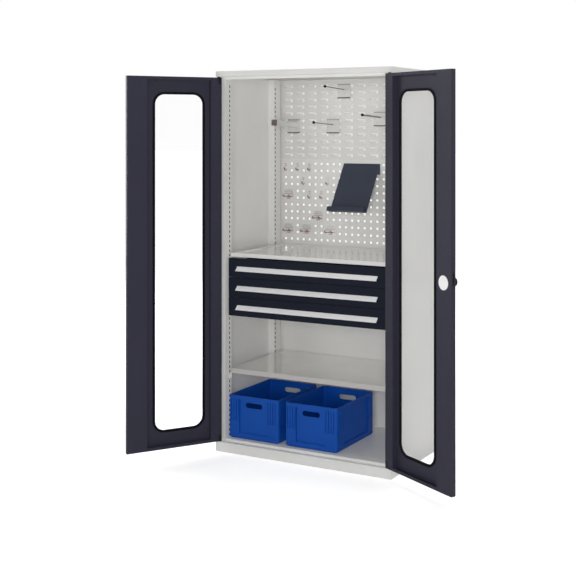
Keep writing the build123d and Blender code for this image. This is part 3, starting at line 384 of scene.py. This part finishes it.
def dipped(name, plate, prong, front, rough):
    """Zinc-plated piece whose prongs, in front of a plane, keep a darker passivated tone."""
    material, tree, shader = new_material(name)
    reach = spread(tree, axes_of(tree, "Object")["Y"], 1, 0, front - DIPPED_EDGE,
                   front + DIPPED_EDGE)
    clouds = spread(tree, noise(tree, *DIPPED_CLOUDS), 0, 1)
    pale = cloudy(tree, clouds, plate, *DIPPED_PLATE_SHADES)
    dark = cloudy(tree, clouds, prong, *DIPPED_PRONG_SHADES)
    fine = noise(tree, *METAL_FINE)
    gloss = spread(tree, fine, rough - DIPPED_GLOSS_SPREAD, rough + DIPPED_GLOSS_SPREAD)
    tree.links.new(blend_colours(tree, reach, pale, dark), shader.inputs["Base Color"])
    tree.links.new(gloss, shader.inputs["Roughness"])
    shader.inputs["Metallic"].default_value = DIPPED_METALLIC
    bump_from(tree, shader, [(fine, METAL_FINE_BUMP)])
    return material


# ---------------------------------------------------------------------------------------------
# Plastic, rubber and the panes
# ---------------------------------------------------------------------------------------------
MOULD_CLOUDS = (11, 4, 0.55)
MOULD_DEPTH = 0.05
MOULD_GLOSS = (70, 4, 0.6)
MOULD_GLOSS_RANGE = (-0.05, 0.06)   # of the roughness, from the value that is asked for
MOULD_GRAIN = (620, 3, 0.6)
MOULD_GRAIN_BUMP = (0.00006, 0.45)
PANE_HAZE = (5, 3, 0.5)
PANE_TINTS = ((0.86, 0.88, 0.88), (0.93, 0.94, 0.94))
PANE_GLOSS = (14, 3, 0.5)
PANE_ROUGH = (0.05, 0.09)
PANE_ALPHA = 0.035
PANE_WAVES = (6, 2, 0.4)
PANE_WAVES_BUMP = (0.0004, 0.1)


def moulded(name, colour, rough, sheen, depth=MOULD_DEPTH):
    """Moulded plastic or rubber."""
    material, tree, shader = new_material(name)
    clouds = spread(tree, noise(tree, *MOULD_CLOUDS), 0, 1)
    gloss = spread(tree, noise(tree, *MOULD_GLOSS), rough + MOULD_GLOSS_RANGE[0],
                   rough + MOULD_GLOSS_RANGE[1])
    tree.links.new(cloudy(tree, clouds, colour, 1 - depth, 1 + depth), shader.inputs["Base Color"])
    tree.links.new(gloss, shader.inputs["Roughness"])
    shader.inputs["Specular IOR Level"].default_value = sheen
    bump_from(tree, shader, [(noise(tree, *MOULD_GRAIN), MOULD_GRAIN_BUMP)])
    return material


def window_pane(name):
    """Clear polished sheet with a faint haze and an almost even surface."""
    material, tree, shader = new_material(name)
    haze = spread(tree, noise(tree, *PANE_HAZE), 0, 1)
    gloss = spread(tree, noise(tree, *PANE_GLOSS), *PANE_ROUGH)
    tree.links.new(blend_colours(tree, haze, *PANE_TINTS), shader.inputs["Base Color"])
    tree.links.new(gloss, shader.inputs["Roughness"])
    shader.inputs["Alpha"].default_value = PANE_ALPHA
    bump_from(tree, shader, [(noise(tree, *PANE_WAVES), PANE_WAVES_BUMP)])
    return material


# ---------------------------------------------------------------------------------------------
# Materials of the CAD nodes
# ---------------------------------------------------------------------------------------------
LIGHT_GREY = (0.785, 0.780, 0.758)
LOUVRE_GREY = shade(LIGHT_GREY, 0.92)
# Lighter tone painted as a highlight on the louvres' faces that lean up or to the right.
HIGHLIGHT_GREY = (1.0, 1.0, 0.985)
ANTHRACITE = (0.035, 0.034, 0.054)
GRAPHITE = (0.010, 0.013, 0.023)
SLATE = (0.052, 0.060, 0.085)
GALVANISED = (0.90, 0.89, 0.87)
# Darker tones painted as shade on the shelves' faces that look forwards.
UPPER_LIP_SHADE = (0.76, 0.75, 0.73)
MIDDLE_LIP_SHADE = (0.50, 0.48, 0.47)
ZINC = (0.74, 0.73, 0.71)
TUBE_ZINC = (0.66, 0.66, 0.64)
ARM_PLATE_ZINC = (0.63, 0.62, 0.60)
ARM_ROD_ZINC = (0.32, 0.29, 0.27)
HOOK_PLATE_ZINC = (0.80, 0.79, 0.78)
HOOK_PRONG_ZINC = (0.20, 0.085, 0.07)
ALUMINIUM = (0.95, 0.95, 0.95)
DRAWN_ALONG_X = (0.02, 1, 1)    # stretches the noise into lines along a handle
NEAR_BLACK = (0.008, 0.008, 0.010)
BROWN = (0.16, 0.12, 0.11)
RUBBER_BLACK = (0.004, 0.004, 0.006)
WHITE = (0.97, 0.97, 0.97)
BLUE = (0.004, 0.072, 0.385)
ARM_SHEET = 0.002               # gauge of the plates that hang on the louvres
PRONG_START = 0.0015            # in front of those plates, where the prongs' own tone begins

louvres_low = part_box("louvre_panel")[0]
plate_front = louvres_low.y - ARM_SHEET
prong_plane = plate_front - PRONG_START


def galvanised(name, lip):
    """Galvanised sheet of a shelf whose lip has painted shade in its own tone."""
    return bare_metal(name, GALVANISED, rough=0.18, metallic=0.85, spangle=0.12, lip=lip)


def dipped_hooks(name):
    return dipped(f"zinc_{name}", HOOK_PLATE_ZINC, HOOK_PRONG_ZINC, prong_plane, rough=0.3)


rubber = moulded("black_rubber", RUBBER_BLACK, rough=0.6, sheen=0.08)
black_steel = powder_coat("black_steel", NEAR_BLACK, rough=0.42, sheen=0.2)
graphite_coat = powder_coat("graphite_coat", GRAPHITE, rough=0.46, sheen=0.08)

SLOT_FINISHES = {               # by the record's material slot
    "light_grey_paint": powder_coat("light_grey_coat", LIGHT_GREY, rough=0.46, sheen=0.3),
    "galvanised_sheet": galvanised("galvanised_sheet", UPPER_LIP_SHADE),
    "anthracite_paint": powder_coat("anthracite_coat", ANTHRACITE, rough=0.48, sheen=0.16),
    "anodised_aluminium": bare_metal("satin_aluminium", ALUMINIUM, rough=0.42, metallic=0.1,
                                     stretch=DRAWN_ALONG_X),
    "zinc_steel": bare_metal("zinc_plate", ZINC, rough=0.34, metallic=0.4),
    "black_steel": black_steel,
    "black_plastic": moulded("black_plastic", NEAR_BLACK, rough=0.42, sheen=0.25),
    "brown_plastic": moulded("brown_plastic", BROWN, rough=0.45, sheen=0.5),
    "black_rubber": rubber,
    "clear_pane": window_pane("clear_pane"),
    "white_plastic": moulded("white_plastic", WHITE, rough=0.35, sheen=0.5, depth=0.01),
    "blue_plastic": moulded("crate_blue", BLUE, rough=0.38, sheen=0.16),
}
NODE_FINISHES = {               # the nodes that look different from the rest of their slot
    # The louvres get a painted highlight on their faces that lean up or to the right.
    "louvre_panel": powder_coat("louvre_coat", LOUVRE_GREY, rough=0.40, sheen=0.5,
                                highlight_tone=HIGHLIGHT_GREY),
    "document_holder": powder_coat("slate_coat", SLATE, rough=0.46, sheen=0.18),
    "middle_shelf": galvanised("galvanised_low", MIDDLE_LIP_SHADE),
    "lock_bolt": black_steel,
    "tube_arm": bare_metal("bright_zinc", TUBE_ZINC, rough=0.34, metallic=0.35),
    "rod_arms": dipped("zinc_rods", ARM_PLATE_ZINC, ARM_ROD_ZINC, prong_plane, rough=0.40),
    "single_hooks": dipped_hooks("single_hooks"),
    "double_hooks": dipped_hooks("double_hooks"),
}
for number in (1, 2, 3):
    for part in ("front", "tray"):
        NODE_FINISHES[f"drawer_{number}_{part}"] = graphite_coat

for row in frame["record"]["subparts"]:
    materials = nodes[row["node"]].data.materials
    materials.clear()
    materials.append(NODE_FINISHES.get(row["node"], SLOT_FINISHES[row["material_slot"]]))


# ---------------------------------------------------------------------------------------------
# Added pieces: shared functions
# ---------------------------------------------------------------------------------------------
ALONG_X = 0
ALONG_Z = 2


def swept(bm, outline, axis, start, end):
    """Prism of a closed outline, given across an axis, from one end to the other."""
    rings = []
    for level in (start, end):
        ring = []
        for first, second in outline:
            place = [first, second]
            place.insert(axis, level)
            ring.append(bm.verts.new(place))
        rings.append(ring)
    count = len(outline)
    for i in range(count):
        j = (i + 1) % count
        bm.faces.new((rings[0][i], rings[0][j], rings[1][j], rings[1][i]))
    bm.faces.new(rings[0][::-1])
    bm.faces.new(rings[1])


def new_piece(name, bm, body, material):
    """Object from a finished bmesh, riding on a body."""
    bmesh.ops.recalc_face_normals(bm, faces=bm.faces)
    mesh = bpy.data.meshes.new(name)
    bm.to_mesh(mesh)
    bm.free()
    piece = bpy.data.objects.new(name, mesh)
    scene.collection.objects.link(piece)
    mesh.materials.append(material)
    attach(piece, body)


# ---------------------------------------------------------------------------------------------
# Dark strips behind the uprights' slots: painted shade that stands in for the shade inside the
# channels
# ---------------------------------------------------------------------------------------------
UPRIGHT_SHEET = 0.0015
SLOT_SETBACKS = {"front": 0.040, "rear": 0.011}     # the slots' middle behind the front edge
SHADE_STRIP_WIDTH = 0.016
SHADE_STRIP_SHEET = 0.0006
SHADE_STRIP_HEM = 0.004               # depth of the strip's two turned edges
SHADE_STRIP_GAP = 0.0001              # between the strip and the upright's sheet
SHADE_STRIP_START = 0.010             # above the upright's lower end
SHADE_STRIP_STOP = 0.032              # below its upper end


def slot_shade_strip(side, face, middle, bottom, top):
    """Shallow black channel inside an upright, open towards the side wall, painting the shade seen
    through the slots.
    """
    near = side * (face + UPRIGHT_SHEET + SHADE_STRIP_GAP)
    inner = near + side * SHADE_STRIP_SHEET
    far = near + side * SHADE_STRIP_HEM
    low = middle - SHADE_STRIP_WIDTH / 2
    high = middle + SHADE_STRIP_WIDTH / 2
    bm = bmesh.new()
    swept(bm, [(near, low), (near, high), (far, high), (far, high - SHADE_STRIP_SHEET),
               (inner, high - SHADE_STRIP_SHEET), (inner, low + SHADE_STRIP_SHEET),
               (far, low + SHADE_STRIP_SHEET), (far, low)], ALONG_Z, bottom, top)
    return bm


for word, setback in SLOT_SETBACKS.items():
    upright_low, upright_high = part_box(f"{word}_upright_left")
    for side, hand in ((-1, "left"), (1, "right")):
        shade_strip = slot_shade_strip(side, -upright_high.x, upright_low.y + setback,
                           upright_low.z + SHADE_STRIP_START, upright_high.z - SHADE_STRIP_STOP)
        # The black rubber finish here paints the shade inside the channel.
        new_piece(f"slot_shade_strip_{word}_{hand}", shade_strip, "cabinet", rubber)


# ---------------------------------------------------------------------------------------------
# Dark hem- and foot-shaped strips on the plates that hang on the louvres: painted shade of the gap
# at each plate's top and painted shadow under its bottom
# ---------------------------------------------------------------------------------------------
LOUVRE_PITCH = 0.038
LOUVRE_ROWS = 11
LOUVRE_START = 0.029            # lowest louvres' upper edge above the panel's lower edge
PLATES = ((-0.064, 0), (-0.132, 5), (0.157, 4), (-0.380, 5))    # middle, louvre row from the top
PLATE_SIZE = 0.078
TOP_SHADE_THICK = 0.0015
TOP_SHADE_HEIGHT = 0.005
BOTTOM_SHADE_THICK = 0.0025
BOTTOM_SHADE_HEIGHT = 0.007
# The upper strips' tone paints shade and is also the grey wires' own tone; the lower strips' tone
# paints shadow.
DULL_ZINC_AND_SHADE = (0.36, 0.35, 0.34)
SHADOW_ZINC = (0.17, 0.165, 0.16)


def edge_strip(bm, middle, low, high, thick):
    """Dark strip with chamfered edges along a plate, which paints shade."""
    cut = thick / 3
    front = plate_front - thick
    swept(bm, [(plate_front, low), (front + cut, low), (front, low + cut), (front, high - cut),
               (front + cut, high), (plate_front, high)], ALONG_X,
          middle - PLATE_SIZE / 2, middle + PLATE_SIZE / 2)


dull_zinc_and_shade = bare_metal("dull_zinc_and_shade", DULL_ZINC_AND_SHADE, rough=0.4, metallic=0.3)
shadow_zinc = bare_metal("shadow_zinc", SHADOW_ZINC, rough=0.5, metallic=0.2)
top_shade_strips = bmesh.new()
bottom_shade_strips = bmesh.new()
for middle, louvre_row in PLATES:
    rows_below = LOUVRE_ROWS - 1 - louvre_row
    top = louvres_low.z + LOUVRE_START + rows_below * LOUVRE_PITCH
    bottom = top - PLATE_SIZE
    edge_strip(top_shade_strips, middle, top - TOP_SHADE_HEIGHT, top, TOP_SHADE_THICK)
    edge_strip(bottom_shade_strips, middle, bottom, bottom + BOTTOM_SHADE_HEIGHT, BOTTOM_SHADE_THICK)
# Strips in tones that paint the shade at the top and the shadow at the bottom of each plate.
new_piece("arm_plate_top_shade_strips", top_shade_strips, "cabinet", dull_zinc_and_shade)
new_piece("arm_plate_bottom_shade_strips", bottom_shade_strips, "cabinet", shadow_zinc)


# ---------------------------------------------------------------------------------------------
# Wires across the hooks' plates
# ---------------------------------------------------------------------------------------------
HOLE_PITCH = 0.038
HOLE_COLUMNS = 24
HOLE_START = 0.027              # highest row of square holes below the panel's upper edge
HOOK_SHEET = 0.002              # gauge of the hooks' plates
SINGLE_HOOKS = ((0, 0), (2, 0), (4, 0), (3, 2), (7, 2), (4, 4), (6, 4))     # column, row of holes
DOUBLE_HOOKS = ((0, 4), (5, 7), (0, 9), (3, 9), (7, 9))
DOUBLE_SHIFT = 0.5              # a double hook's middle lies between two columns
HOOK_DROP = 0.5                 # and every hook's middle between two rows
# Each wire: height on the plate, length, radius, whether it is brown.
SINGLE_WIRES = ((0.018, 0.014, 0.0012, False), (0.008, 0.014, 0.0012, False),
                (-0.013, 0.014, 0.0020, True), (-0.020, 0.007, 0.0016, True))
DOUBLE_WIRES = ((0.022, 0.040, 0.0012, False), (0.012, 0.056, 0.0012, False),
                (0.002, 0.056, 0.0014, False), (-0.012, 0.052, 0.0022, True),
                (-0.022, 0.022, 0.0018, True))
WIRE_SIDES = 8
BROWN_ZINC = (0.34, 0.13, 0.11)

holes_low, holes_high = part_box("perforated_panel")
hook_front = holes_low.y - HOOK_SHEET


def cross_wire(bm, middle, height, length, radius):
    """Round wire welded across a hook's plate."""
    turns = [2 * math.pi * i / WIRE_SIDES for i in range(WIRE_SIDES)]
    swept(bm, [(hook_front - radius + radius * math.cos(turn), height + radius * math.sin(turn))
               for turn in turns], ALONG_X, middle - length / 2, middle + length / 2)


brown_zinc = bare_metal("brown_zinc", BROWN_ZINC, rough=0.4, metallic=0.2)
grey_wires = bmesh.new()
brown_wires = bmesh.new()
for spots, wires, shift in ((SINGLE_HOOKS, SINGLE_WIRES, 0),
                            (DOUBLE_HOOKS, DOUBLE_WIRES, DOUBLE_SHIFT)):
    for column, hole_row in spots:
        middle = (column + shift - (HOLE_COLUMNS - 1) / 2) * HOLE_PITCH
        height = holes_high.z - HOLE_START - (hole_row + HOOK_DROP) * HOLE_PITCH
        for rise, length, radius, brown in wires:
            cross_wire(brown_wires if brown else grey_wires, middle, height + rise, length, radius)
new_piece("hook_wires_grey", grey_wires, "cabinet", dull_zinc_and_shade)
new_piece("hook_wires_brown", brown_wires, "cabinet", brown_zinc)
